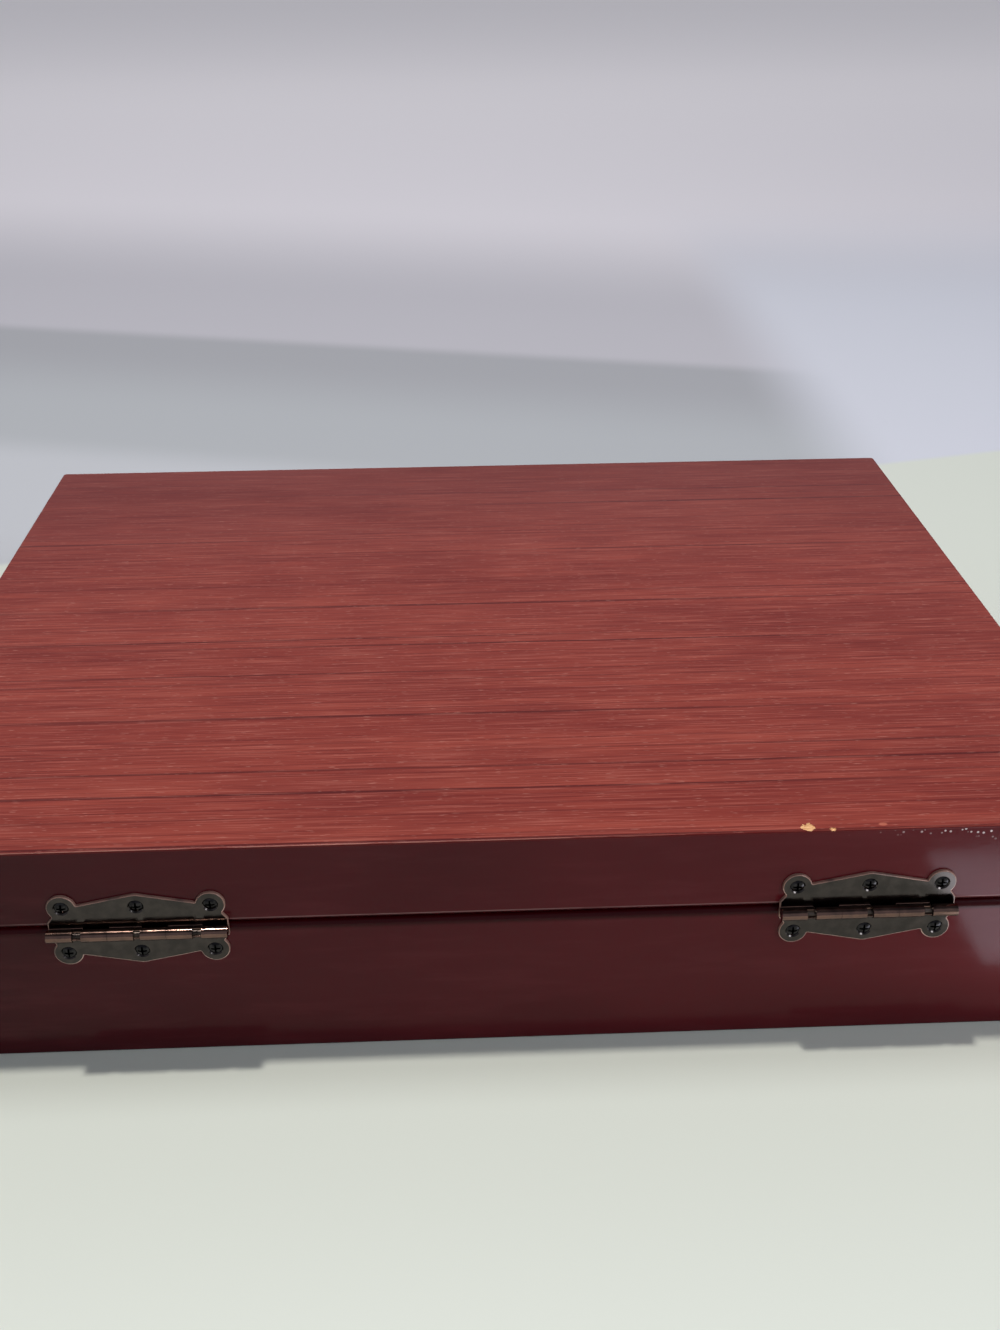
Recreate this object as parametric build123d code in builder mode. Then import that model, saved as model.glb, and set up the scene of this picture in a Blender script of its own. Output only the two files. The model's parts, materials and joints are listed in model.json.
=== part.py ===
"""Silverware chest with two surface hinges, a front hook latch, and racks for flatware.

Millimetres. +Z is up, the front is at -Y and the hinges are at +Y. The origin is the middle of the
footprint, on the surface that the chest stands on. The lid is closed and the hook hangs open.
"""

import os

from build123d import *

# ---------------------------------------------------------------- case
case_width = 387.0
case_depth = 307.0
base_height = 49.2          # table to parting line
lid_height = 27.8           # parting line to the top of the veneer
wall_thickness = 9.5
corner_round = 1.5          # upright corners
rim_round = 2.2             # roundover on each side of the parting line
foot_round = 0.8            # arris at the table

bottom_thickness = 4.0
bottom_recess = 3.0         # underside of the bottom panel above the table
bottom_tongue = 4.0         # how far the panel enters the grooves of the walls
bottom_play = 0.2           # the panel is free to move this much in its grooves

top_core_thickness = 5.2
veneer_thickness = 0.8
veneer_round = 0.5          # worn upper arris of the veneer

# ---------------------------------------------------------------- hinges
right_hinge_inset = 86.4    # middle of the hinge from the right end of the case
left_hinge_inset = 81.0     # and from the left end
hinge_drop = 0.3            # the pins lie this far below the parting line
hinge_stand_off = 3.4       # pin axis from the back face
pin_radius = 1.0
pin_running_clearance = 0.05
knuckle_radius = 1.9
knuckle_length = 7.65
knuckle_play = 0.1          # end play between touching knuckles
outer_lug_gap = 2.7
middle_lug_gap = 2.0
lug_radius = 1.55
lug_play = 0.15             # end play of a lug in its gap
lid_stop_angle = 105.0
lug_stop_slack = 0.3        # degrees left between the lugs at the stop
lug_lead_angle = 90.0       # leading face of a lid lug, from straight out of the case
lug_root_angle = 175.0      # root of a lug, from straight out of the case

leaf_thickness = 1.0
leaf_edge_round = 0.35
leaf_parting = 0.1          # a leaf's edge from the level of the pin
web_height = 0.9            # strip that joins a knuckle to its leaf
shoulder_height = 2.9       # the leaf keeps its full length up to here
neck_height = 5.9           # the shoulder runs into the ear at this point
neck_x = 24.6
ear_x = 21.95
screw_row = 8.3             # screws from the level of the pin
ear_radius = 4.4
crown_radius = 4.35
crown_foot_x = 18.6         # the crown runs into the ear at this point
crown_foot_height = 8.9
notch_round = 0.4

# ---------------------------------------------------------------- wood screws, all alike
screw_head_radius = 2.0
screw_sink = 0.35           # rim of the head below the face of its plate
screw_shank_radius = 1.2
screw_length = 7.6          # under the rim of the head
screw_point_length = 2.4
screw_dome_height = 0.55
screw_clearance = 0.05
screw_angle = 90.0          # countersink
cross_length = 2.9
cross_width = 0.62
cross_depth = 0.8
cross_taper = 12.0

# ---------------------------------------------------------------- front latch
latch_pivot_drop = 9.5      # rivet below the parting line
latch_stud_rise = 9.5       # stud above the parting line
latch_plate_thickness = 1.0
latch_plate_round = 0.3
latch_middle_radius = 4.6
latch_boss_radius = 3.2     # raised boss under the eye of the hook
latch_ear_radius = 3.7
latch_screw_x = 8.4
rivet_radius = 1.5
rivet_head_radius = 2.8
rivet_head_height = 1.1
rivet_root = 3.0            # length set into the wall
stud_radius = 1.6
stud_head_radius = 2.9
hook_thickness = 1.2
hook_side_play = 0.2        # in front of and behind the hook
hook_running_clearance = 0.05
hook_eye_radius = 3.4
hook_arm_width = 3.4
hook_throat_clearance = 0.25
hook_jaw_radius = 4.0
hook_tab_radius = 2.3
hook_tab_reach = 5.4        # tab centre beyond the stud

# ---------------------------------------------------------------- cloth-covered fittings
liner_thickness = 1.6
liner_rim_gap = 1.5         # liners stop short of the parting line
floor_pad_thickness = 2.5
lid_pad_thickness = 3.0
soft_clearance = 0.3        # round the pads and at the ends of the racks

rack_height = 26.0
rack_thickness = 14.0
rack_slot_width = 11.0
rack_slot_depth = 15.0
rack_slot_count = 10
rack_slot_pitch = 35.0
rack_corner_round = 2.5
front_rack_setback = 42.0   # rack centre behind the front liner
rear_rack_setback = 148.0

tray_depth = 72.0           # clear size of the tray behind the divider
divider_thickness = 6.0
divider_height = 33.0
divider_round = 2.0

knife_rack_height = 14.0
knife_rack_thickness = 18.0
knife_slot_width = 13.0
knife_slot_depth = 10.5
knife_slot_count = 12
knife_slot_pitch = 28.5
knife_rack_round = 3.0
knife_rack_setback = 70.0   # handle rack centre behind the front liner of the lid

blade_bar_setback = 240.0   # blade bar centre behind the front liner of the lid
blade_bar_width = 16.0
blade_bar_thickness = 5.5
blade_bar_gap = 5.5         # the blade tips slide in under the bar
blade_bar_foot = 11.0
blade_bar_round = 2.0

# ---------------------------------------------------------------- worked out from the sizes above
case_height = base_height + lid_height
lid_wall_top = case_height - veneer_thickness - top_core_thickness
inner_width = case_width - 2 * wall_thickness
inner_depth = case_depth - 2 * wall_thickness
lined_width = inner_width - 2 * liner_thickness
lined_depth = inner_depth - 2 * liner_thickness
front_liner_y = -lined_depth / 2
bottom_top = bottom_recess + bottom_thickness
floor_top = bottom_top + floor_pad_thickness
lid_pad_bottom = lid_wall_top - lid_pad_thickness
right_hinge_x = case_width / 2 - right_hinge_inset
left_hinge_x = left_hinge_inset - case_width / 2
hinge_axis_z = base_height - hinge_drop
hinge_axis_y = case_depth / 2 + hinge_stand_off
barrel_half = 3 * knuckle_length + knuckle_play + outer_lug_gap + middle_lug_gap / 2
latch_boss_top = latch_plate_thickness + screw_dome_height  # the hook swings clear of the screws

os.makedirs("parts", exist_ok=True)


def save(piece, label):
    """Label a finished piece and write it."""
    piece.part.label = label
    export_step(piece.part, f"parts/{label}.step")


# ---------------------------------------------------------------- placing frames
# A wall's frame lies at the foot of its outer face: x along the wall, y into the case, z up.
wall_frames = {
    "front": Plane(origin=(0, -case_depth / 2, 0), x_dir=(1, 0, 0), z_dir=(0, 0, 1)),
    "right": Plane(origin=(case_width / 2, 0, 0), x_dir=(0, 1, 0), z_dir=(0, 0, 1)),
    "back": Plane(origin=(0, case_depth / 2, 0), x_dir=(-1, 0, 0), z_dir=(0, 0, 1)),
    "left": Plane(origin=(-case_width / 2, 0, 0), x_dir=(0, -1, 0), z_dir=(0, 0, 1)),
}
wall_lengths = {"front": case_width, "right": case_depth, "back": case_width, "left": case_depth}

# A leaf's frame lies on the pin axis: x along the barrel, y up the leaf, z straight out of the case.
hinge_positions = {"right_hinge": right_hinge_x, "left_hinge": left_hinge_x}
lid_leaf_frames = {
    name: Plane(origin=(x, hinge_axis_y, hinge_axis_z), x_dir=(-1, 0, 0), z_dir=(0, 1, 0))
    for name, x in hinge_positions.items()
}
base_leaf_frames = {
    name: Plane(origin=(x, hinge_axis_y, hinge_axis_z), x_dir=(1, 0, 0), z_dir=(0, 1, 0))
    for name, x in hinge_positions.items()
}

# A latch plate's frame lies on the front face, z straight out of the case.
latch_base_frame = Plane(
    origin=(0, -case_depth / 2, base_height - latch_pivot_drop), x_dir=(1, 0, 0), z_dir=(0, -1, 0)
)
latch_lid_frame = Plane(
    origin=(0, -case_depth / 2, base_height + latch_stud_rise), x_dir=(1, 0, 0), z_dir=(0, -1, 0)
)


def hinge_screw_places(leaf_frame, height):
    """Frames of the three screws of a leaf, at a height above the wood."""
    seat = leaf_frame.offset(height - hinge_stand_off)
    return [
        Plane(origin=seat.from_local_coords((x, screw_row, 0)), x_dir=seat.x_dir, z_dir=seat.z_dir)
        for x in (-ear_x, 0, ear_x)
    ]


def latch_screw_places(plate_frame, height):
    """Frames of the two screws of a latch plate, at a height above the wood."""
    seat = plate_frame.offset(height)
    return [
        Plane(origin=seat.from_local_coords((x, 0, 0)), x_dir=seat.x_dir, z_dir=seat.z_dir)
        for x in (-latch_screw_x, latch_screw_x)
    ]


def drill_for_screws(places, sunk_thickness):
    """Pilot holes in wood under a plate, whose countersinks carry on into the wood."""
    with Locations(*places):
        CounterSinkHole(
            radius=screw_shank_radius + screw_clearance,
            counter_sink_radius=screw_head_radius + screw_sink - sunk_thickness + screw_clearance,
            depth=screw_length,
            counter_sink_angle=screw_angle,
        )


# ---------------------------------------------------------------- wooden case
def wall_plan(length):
    """Outline of a mitred board in its wall frame, with half of each rounded upright corner."""
    bend = length / 2 - corner_round
    with BuildLine() as outline:
        Line((0, 0), (bend, 0))
        corner = CenterArc((bend, corner_round), corner_round, -90, 45)
        Line(corner @ 1, (length / 2 - wall_thickness, wall_thickness))
        Line((length / 2 - wall_thickness, wall_thickness), (0, wall_thickness))
        mirror(about=Plane.YZ)
    make_face(outline.edges())


def outer_round(radius, height, upward):
    """Waste outside a roundover on the outer face, which a board loses; upward is 1 or -1."""
    inward_end = Align.MAX if upward > 0 else Align.MIN
    with BuildSketch(mode=Mode.PRIVATE) as waste:
        with Locations((0, height)):
            Rectangle(radius, radius, align=(Align.MIN, inward_end))
        with Locations((radius, height - upward * radius)):
            Circle(radius, mode=Mode.SUBTRACT)
    add(waste.sketch)


def case_wall(side, low, high, rim_up, grooved):
    """A board of the case from low to high. rim_up is 1 where the parting line is its upper edge."""
    frame = wall_frames[side]
    length = wall_lengths[side]
    section = Plane(origin=frame.origin, x_dir=frame.y_dir, z_dir=frame.x_dir)
    with BuildPart() as wall:
        with BuildSketch(frame.offset(low)):
            wall_plan(length)
        extrude(amount=high - low)
        with BuildSketch(section):
            outer_round(rim_round, high if rim_up > 0 else low, rim_up)
            if grooved:
                outer_round(foot_round, low, -1)
                groove_top = bottom_top + bottom_play
                with Locations((wall_thickness - bottom_tongue - bottom_play, bottom_recess)):
                    Rectangle(
                        bottom_tongue + bottom_play,
                        groove_top - bottom_recess,
                        align=(Align.MIN, Align.MIN),
                    )
        extrude(amount=length / 2, both=True, mode=Mode.SUBTRACT)
        if side == "back":
            for leaf_frame in (base_leaf_frames if grooved else lid_leaf_frames).values():
                drill_for_screws(hinge_screw_places(leaf_frame, 0), leaf_thickness)
        if side == "front":
            plate_frame = latch_base_frame if grooved else latch_lid_frame
            drill_for_screws(latch_screw_places(plate_frame, 0), latch_plate_thickness)
            root_radius = rivet_radius if grooved else stud_radius
            with Locations(plate_frame):
                Hole(radius=root_radius, depth=rivet_root)
    return wall


for side in wall_frames:
    save(case_wall(side, 0, base_height, 1, True), f"base_{side}_wall")
    save(case_wall(side, base_height, lid_wall_top, -1, False), f"lid_{side}_wall")

with BuildPart() as bottom_panel:
    with BuildSketch(Plane.XY.offset(bottom_recess)):
        Rectangle(inner_width + 2 * bottom_tongue, inner_depth + 2 * bottom_tongue)
    extrude(amount=bottom_thickness)
save(bottom_panel, "base_bottom_panel")

with BuildPart() as top_core:
    with BuildSketch(Plane.XY.offset(lid_wall_top)):
        RectangleRounded(case_width, case_depth, corner_round)
    extrude(amount=top_core_thickness)
save(top_core, "lid_top_panel")

with BuildPart() as top_veneer:
    with BuildSketch(Plane.XY.offset(lid_wall_top + top_core_thickness)):
        RectangleRounded(case_width, case_depth, corner_round)
    extrude(amount=veneer_thickness)
    fillet(top_veneer.faces().sort_by(Axis.Z)[-1].edges(), radius=veneer_round)
save(top_veneer, "lid_top_veneer")


# ---------------------------------------------------------------- hinges
# Stamped outline of a leaf: a full-length shoulder, two ears and a low crown between them.
with BuildSketch() as leaf_outline:
    Polygon(
        (-barrel_half, leaf_parting),
        (barrel_half, leaf_parting),
        (barrel_half, shoulder_height),
        (neck_x, neck_height),
        (ear_x, screw_row),
        (-ear_x, screw_row),
        (-neck_x, neck_height),
        (-barrel_half, shoulder_height),
        align=None,
    )
    with Locations((-ear_x, screw_row), (ear_x, screw_row)):
        Circle(ear_radius)
    with BuildLine(mode=Mode.PRIVATE) as crown:
        CenterArc((0, screw_row), crown_radius, 0, 360)
        Line((-crown_foot_x, crown_foot_height), (crown_foot_x, crown_foot_height))
        Line((-crown_foot_x, shoulder_height), (crown_foot_x, shoulder_height))
    make_hull(crown.edges())
    notches = leaf_outline.vertices().filter_by(lambda corner: corner.Y > shoulder_height)
    fillet(notches.filter_by(lambda corner: abs(corner.X) > crown_radius), radius=notch_round)


def knuckle_section(radius, first_angle=0.0, last_angle=360.0):
    """Round of a knuckle or lug about the pin, with the strip that joins it to its leaf."""
    Circle(radius)
    if last_angle - first_angle < 360:
        reach = 2 * radius
        with BuildLine(mode=Mode.PRIVATE) as sector:
            Line((0, 0), PolarLine((0, 0), reach, first_angle, mode=Mode.PRIVATE) @ 1)
            CenterArc((0, 0), reach, first_angle, last_angle - first_angle)
            Line(PolarLine((0, 0), reach, last_angle, mode=Mode.PRIVATE) @ 1, (0, 0))
        make_face(sector.edges(), mode=Mode.INTERSECT)
    with Locations((-hinge_stand_off, leaf_parting)):
        Rectangle(hinge_stand_off, web_height, align=(Align.MIN, Align.MIN))
    Circle(pin_radius + pin_running_clearance, mode=Mode.SUBTRACT)


def add_along_barrel(frame, centre, length, radius, first_angle=0.0, last_angle=360.0):
    """Add a knuckle or lug, centred at a distance along the barrel."""
    section = Plane(
        origin=frame.from_local_coords((centre, 0, 0)), x_dir=frame.z_dir, z_dir=-frame.x_dir
    )
    with BuildSketch(section) as profile:
        knuckle_section(radius, first_angle, last_angle)
    extrude(profile.sketch, amount=length / 2, both=True)


def hinge_leaf(frame, lug_first, lug_last):
    """A leaf with three knuckles, and a lug in each gap that stops the lid."""
    first = -barrel_half + knuckle_length / 2
    second = first + 2 * knuckle_length + outer_lug_gap + knuckle_play
    third = second + 2 * knuckle_length + middle_lug_gap + knuckle_play
    outer_lug = barrel_half - knuckle_length - outer_lug_gap / 2
    with BuildPart() as leaf:
        with BuildSketch(frame.offset(-hinge_stand_off)):
            add(leaf_outline.sketch)
        extrude(amount=leaf_thickness)
        outward = Axis(frame.origin, frame.z_dir)
        rim = leaf.faces().sort_by(outward)[-1].edges()
        fillet(rim, radius=leaf_edge_round)
        for centre in (first, second, third):
            add_along_barrel(frame, centre, knuckle_length, knuckle_radius)
        for centre, gap in (
            (-outer_lug, outer_lug_gap), (0, middle_lug_gap), (outer_lug, outer_lug_gap)
        ):
            add_along_barrel(frame, centre, gap - 2 * lug_play, lug_radius, lug_first, lug_last)
        with Locations(*hinge_screw_places(frame, leaf_thickness)):
            CounterSinkHole(
                radius=screw_shank_radius + screw_clearance,
                counter_sink_radius=screw_head_radius + screw_sink + screw_clearance,
                depth=leaf_thickness,
                counter_sink_angle=screw_angle,
            )
    return leaf


# Angles run from straight out of the case up the leaf. The two lugs meet when the lid stops.
base_lug_lead = lid_stop_angle - lug_lead_angle + lug_stop_slack

for name in hinge_positions:
    save(hinge_leaf(lid_leaf_frames[name], lug_lead_angle, lug_root_angle), f"{name}_lid_leaf")
    save(hinge_leaf(base_leaf_frames[name], base_lug_lead, lug_root_angle), f"{name}_base_leaf")

for name, x in hinge_positions.items():
    with BuildPart() as pin:
        with BuildSketch(Plane(origin=(x, hinge_axis_y, hinge_axis_z), x_dir=(0, 1, 0), z_dir=(1, 0, 0))):
            Circle(pin_radius)
        extrude(amount=barrel_half, both=True)
    save(pin, f"{name}_pin")


# ---------------------------------------------------------------- screws
with BuildPart() as screw:
    neck_depth = screw_head_radius - screw_shank_radius
    with BuildSketch(Plane.XZ):
        with BuildLine():
            Polyline(
                (screw_head_radius, 0),
                (screw_shank_radius, -neck_depth),
                (screw_shank_radius, screw_point_length - screw_length),
                (0, -screw_length),
                (0, screw_dome_height),
            )
            TangentArc((0, screw_dome_height), (screw_head_radius, 0), tangent=(1, 0))
        make_face()
    revolve(axis=Axis.Z)
    with BuildSketch(Plane.XY.offset(screw_dome_height)):
        Rectangle(cross_length, cross_width)
        Rectangle(cross_width, cross_length)
    extrude(amount=-(screw_dome_height + cross_depth), taper=cross_taper, mode=Mode.SUBTRACT)


def screw_group(places):
    """The screws of one plate, as separate solids."""
    with BuildPart() as group:
        with Locations(*places):
            add(screw.part)
    return group


leaf_rim_height = leaf_thickness - screw_sink
latch_rim_height = latch_plate_thickness - screw_sink
for name in hinge_positions:
    save(screw_group(hinge_screw_places(lid_leaf_frames[name], leaf_rim_height)), f"{name}_lid_screws")
    save(screw_group(hinge_screw_places(base_leaf_frames[name], leaf_rim_height)), f"{name}_base_screws")
for label, frame in (("latch_plate_screws", latch_base_frame), ("stud_plate_screws", latch_lid_frame)):
    save(screw_group(latch_screw_places(frame, latch_rim_height)), label)


# ---------------------------------------------------------------- latch
def latch_plate(frame, boss_hole_radius):
    """Plate with a screw ear at each end and a raised boss in the middle."""
    with BuildPart() as plate:
        with BuildSketch(frame):
            with BuildLine() as ends:
                CenterArc((-latch_screw_x, 0), latch_ear_radius, 0, 360)
                CenterArc((latch_screw_x, 0), latch_ear_radius, 0, 360)
            make_hull(ends.edges())
            Circle(latch_middle_radius)
        extrude(amount=latch_plate_thickness)
        outward = Axis(frame.origin, frame.z_dir)
        fillet(plate.faces().sort_by(outward)[-1].edges(), radius=latch_plate_round)
        with BuildSketch(frame) as boss:
            Circle(latch_boss_radius)
        extrude(boss.sketch, amount=latch_boss_top)
        with Locations(frame.offset(latch_boss_top)):
            Hole(radius=boss_hole_radius)
        with Locations(*latch_screw_places(frame, latch_plate_thickness)):
            CounterSinkHole(
                radius=screw_shank_radius + screw_clearance,
                counter_sink_radius=screw_head_radius + screw_sink + screw_clearance,
                depth=latch_plate_thickness,
                counter_sink_angle=screw_angle,
            )
    return plate


def headed_pin(frame, shank_radius, head_radius):
    """Round pin set into the wall, with a domed head that keeps the hook on."""
    head_base = latch_boss_top + hook_thickness + 2 * hook_side_play
    with BuildPart() as pin:
        with BuildSketch(Plane(origin=frame.origin, x_dir=frame.x_dir, z_dir=frame.y_dir)):
            with BuildLine():
                Polyline(
                    (0, rivet_root),
                    (shank_radius, rivet_root),
                    (shank_radius, -head_base),
                    (head_radius, -head_base),
                )
                head_top = -head_base - rivet_head_height
                TangentArc((0, head_top), (head_radius, -head_base), tangent=(1, 0))
                Line((0, head_top), (0, rivet_root))
            make_face()
        revolve(axis=Axis(frame.origin, frame.z_dir))
    return pin


save(latch_plate(latch_base_frame, rivet_radius), "latch_plate")
save(latch_plate(latch_lid_frame, stud_radius), "stud_plate")
save(headed_pin(latch_base_frame, rivet_radius, rivet_head_radius), "latch_rivet")
save(headed_pin(latch_lid_frame, stud_radius, stud_head_radius), "latch_stud")

# The hook hangs straight down from its rivet, so its frame's y points down.
stud_distance = latch_pivot_drop + latch_stud_rise
throat_radius = stud_radius + hook_throat_clearance
hook_frame = Plane(origin=latch_base_frame.origin, x_dir=(-1, 0, 0), z_dir=(0, -1, 0))

with BuildPart() as latch_hook:
    with BuildSketch(hook_frame.offset(latch_boss_top + hook_side_play)):
        Circle(hook_eye_radius)
        with Locations((0, stud_distance / 2)):
            Rectangle(hook_arm_width, stud_distance)
        with Locations((0, stud_distance)):
            Circle(hook_jaw_radius)
        with Locations((0, stud_distance + hook_tab_reach)):
            Circle(hook_tab_radius)
        Circle(rivet_radius + hook_running_clearance, mode=Mode.SUBTRACT)
        with Locations((0, stud_distance)):
            Circle(throat_radius, mode=Mode.SUBTRACT)
        # The throat follows the arc on which the stud comes in.
        with BuildSketch(mode=Mode.PRIVATE) as throat:
            Circle(stud_distance + throat_radius)
            Circle(stud_distance - throat_radius, mode=Mode.SUBTRACT)
            Rectangle(2 * hook_jaw_radius, 2 * stud_distance + 2 * hook_jaw_radius,
                      align=(Align.MAX, Align.CENTER), mode=Mode.INTERSECT)
            Rectangle(2 * hook_jaw_radius, stud_distance + hook_jaw_radius,
                      align=(Align.MAX, Align.MIN), mode=Mode.INTERSECT)
        add(throat.sketch, mode=Mode.SUBTRACT)
    extrude(amount=hook_thickness)
save(latch_hook, "latch_hook")


# ---------------------------------------------------------------- cloth-covered linings
def wall_liner(side, low, high):
    """Covered card against the inside of a wall. The side liners fit between the long ones."""
    along_width = side in ("front", "back")
    length = inner_width if along_width else lined_depth
    with BuildPart() as liner:
        with BuildSketch(wall_frames[side].offset(low)):
            with Locations((0, wall_thickness)):
                Rectangle(length, liner_thickness, align=(Align.CENTER, Align.MIN))
        extrude(amount=high - low)
    return liner


for side in wall_frames:
    save(wall_liner(side, bottom_top, base_height - liner_rim_gap), f"base_{side}_liner")
    save(wall_liner(side, base_height + liner_rim_gap, lid_wall_top), f"lid_{side}_liner")


def flat_pad(low, thickness):
    """Pad that fills the space between the liners."""
    with BuildPart() as pad:
        with BuildSketch(Plane.XY.offset(low)):
            Rectangle(lined_width - 2 * soft_clearance, lined_depth - 2 * soft_clearance)
        extrude(amount=thickness)
    return pad


save(flat_pad(bottom_top, floor_pad_thickness), "base_floor_pad")
save(flat_pad(lid_pad_bottom, lid_pad_thickness), "lid_pad")


# ---------------------------------------------------------------- racks and dividers
def slotted_bar(frame, height, thickness, slot_width, slot_depth, slot_count, slot_pitch, tip_round):
    """Bar across the case with round-bottomed slots. The frame's y points from its seat to its slots."""
    length = lined_width - 2 * soft_clearance
    slot_radius = slot_width / 2
    with BuildPart() as bar:
        with BuildSketch(frame):
            Rectangle(length, height, align=(Align.CENTER, Align.MIN))
            with Locations((0, height)):
                with GridLocations(slot_pitch, 1, slot_count, 1):
                    Rectangle(
                        slot_width,
                        slot_depth - slot_radius,
                        align=(Align.CENTER, Align.MAX),
                        mode=Mode.SUBTRACT,
                    )
            with Locations((0, height - slot_depth + slot_radius)):
                with GridLocations(slot_pitch, 1, slot_count, 1):
                    Circle(slot_radius, mode=Mode.SUBTRACT)
        extrude(amount=thickness / 2, both=True)
        free_edge = Axis(frame.origin, frame.y_dir)
        tips = bar.faces().sort_by(free_edge)[-(slot_count + 1):]
        fillet(tips.edges(), radius=tip_round)
    return bar


def rack_frame(setback):
    """Frame of a rack that stands on the floor pad."""
    return Plane(origin=(0, front_liner_y + setback, floor_top), x_dir=(1, 0, 0), z_dir=(0, -1, 0))


for label, setback in (("front_rack", front_rack_setback), ("rear_rack", rear_rack_setback)):
    rack = slotted_bar(rack_frame(setback), rack_height, rack_thickness, rack_slot_width,
                       rack_slot_depth, rack_slot_count, rack_slot_pitch, rack_corner_round)
    save(rack, label)

knife_frame = Plane(
    origin=(0, front_liner_y + knife_rack_setback, lid_pad_bottom), x_dir=(1, 0, 0), z_dir=(0, 1, 0)
)
knife_rack = slotted_bar(knife_frame, knife_rack_height, knife_rack_thickness, knife_slot_width,
                         knife_slot_depth, knife_slot_count, knife_slot_pitch, knife_rack_round)
save(knife_rack, "knife_handle_rack")

blade_bar_y = front_liner_y + blade_bar_setback
with BuildPart() as blade_bar:
    bar_length = lined_width - 2 * soft_clearance
    with BuildSketch(Plane(origin=(0, blade_bar_y, lid_pad_bottom), x_dir=(1, 0, 0), z_dir=(0, 1, 0))):
        Rectangle(bar_length, blade_bar_gap + blade_bar_thickness, align=(Align.CENTER, Align.MIN))
        Rectangle(bar_length - 2 * blade_bar_foot, blade_bar_gap, align=(Align.CENTER, Align.MIN),
                  mode=Mode.SUBTRACT)
    extrude(amount=blade_bar_width / 2, both=True)
    fillet(blade_bar.faces().sort_by(Axis.Z)[0].edges(), radius=blade_bar_round)
save(blade_bar, "knife_blade_bar")

divider_y = -front_liner_y - tray_depth - divider_thickness / 2
with BuildPart() as tray_divider:
    with BuildSketch(Plane.XY.offset(floor_top)):
        with Locations((0, divider_y)):
            Rectangle(lined_width - 2 * soft_clearance, divider_thickness)
    extrude(amount=divider_height)
    fillet(tray_divider.faces().sort_by(Axis.Z)[-1].edges().filter_by(Axis.X), radius=divider_round)
save(tray_divider, "tray_divider")

with BuildPart() as tray_cross_divider:
    with BuildSketch(Plane.XY.offset(floor_top)):
        with Locations((0, -front_liner_y - tray_depth / 2)):
            Rectangle(divider_thickness, tray_depth - 2 * soft_clearance)
    extrude(amount=divider_height)
    fillet(tray_cross_divider.faces().sort_by(Axis.Z)[-1].edges().filter_by(Axis.Y), radius=divider_round)
save(tray_cross_divider, "tray_cross_divider")
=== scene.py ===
"""Looks of the silverware chest: its finishes, cloth-covered fittings, studio and camera.

Metres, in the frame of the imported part: +Z is up, the front is at -Y and the hinges are at +Y.
The photograph shows the back and the top, so the camera stands behind the chest.
"""

import json
from math import ceil, pi, radians, sin

import bmesh
import bpy
from mathutils import Matrix, Vector, noise

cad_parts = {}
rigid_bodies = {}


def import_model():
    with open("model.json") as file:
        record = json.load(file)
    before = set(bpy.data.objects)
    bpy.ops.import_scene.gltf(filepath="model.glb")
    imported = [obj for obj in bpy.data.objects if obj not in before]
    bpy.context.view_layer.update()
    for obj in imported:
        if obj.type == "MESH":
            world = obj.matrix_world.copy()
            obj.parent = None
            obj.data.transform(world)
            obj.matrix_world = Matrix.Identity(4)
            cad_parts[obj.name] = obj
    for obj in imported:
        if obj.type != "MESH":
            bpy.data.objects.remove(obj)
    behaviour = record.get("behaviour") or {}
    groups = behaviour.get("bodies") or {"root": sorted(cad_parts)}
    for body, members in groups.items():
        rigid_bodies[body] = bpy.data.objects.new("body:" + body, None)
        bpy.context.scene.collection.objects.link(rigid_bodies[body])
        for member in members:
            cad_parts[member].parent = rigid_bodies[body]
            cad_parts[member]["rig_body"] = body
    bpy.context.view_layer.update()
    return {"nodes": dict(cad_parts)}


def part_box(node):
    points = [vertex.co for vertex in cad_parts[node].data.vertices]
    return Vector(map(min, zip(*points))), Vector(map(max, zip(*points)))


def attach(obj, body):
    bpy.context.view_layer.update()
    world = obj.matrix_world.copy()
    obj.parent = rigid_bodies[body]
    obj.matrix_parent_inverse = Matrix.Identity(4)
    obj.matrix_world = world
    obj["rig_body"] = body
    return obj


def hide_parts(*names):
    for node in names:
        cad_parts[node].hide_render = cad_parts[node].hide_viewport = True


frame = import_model()
scene = bpy.context.scene
mm = 0.001

# ---------------------------------------------------------------- places read from the frame
back_wall_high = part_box("base_back_wall")[1]
parting_z = back_wall_high.z
back_y = back_wall_high.y
veneer_low_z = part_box("lid_top_veneer")[0].z
lid_top_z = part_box("lid_top_veneer")[1].z

# ---------------------------------------------------------------- sizes
rim_round = 2.2 * mm            # roundover on each side of the parting line
leaf_thickness = 1.0 * mm
weld_reach = 0.001 * mm         # vertices of a CAD mesh closer than this are joined
flat_angle = 0.1                # degrees; CAD faces that meet at less become one face
square_to_axis = 0.9999         # largest part of the normal of a face that faces along an axis
round_segments = 3

cloth_edge_round = 0.5 * mm     # cloth pulled round the edge of covered card
divider_edge_round = 0.9 * mm
cover_round_angle = 30          # degrees; sharper edges of a covered board are rounded
cover_shading_angle = 40        # degrees; sharper edges stay sharp in the shading
veneer_shading_angle = 35

pad_cell = 6.0 * mm             # face of a flat pad's cover
rack_cell = 2.0 * mm            # face of a slotted rack's cover
pad_edge_round = 0.9 * mm
pad_round_angle = 60            # degrees; sharper edges of a pad's box are rounded
pad_swell = 0.35 * mm           # the cover starts this far inside the pad, and swells from there
rack_swell = 0.5 * mm

# Cloth simulation of the covers.
pad_pressure = 0.12
rack_pressure = 4.0
cover_mass = 0.02               # kg for each vertex
cover_stiffness = 8.0
cover_frames = 20

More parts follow.
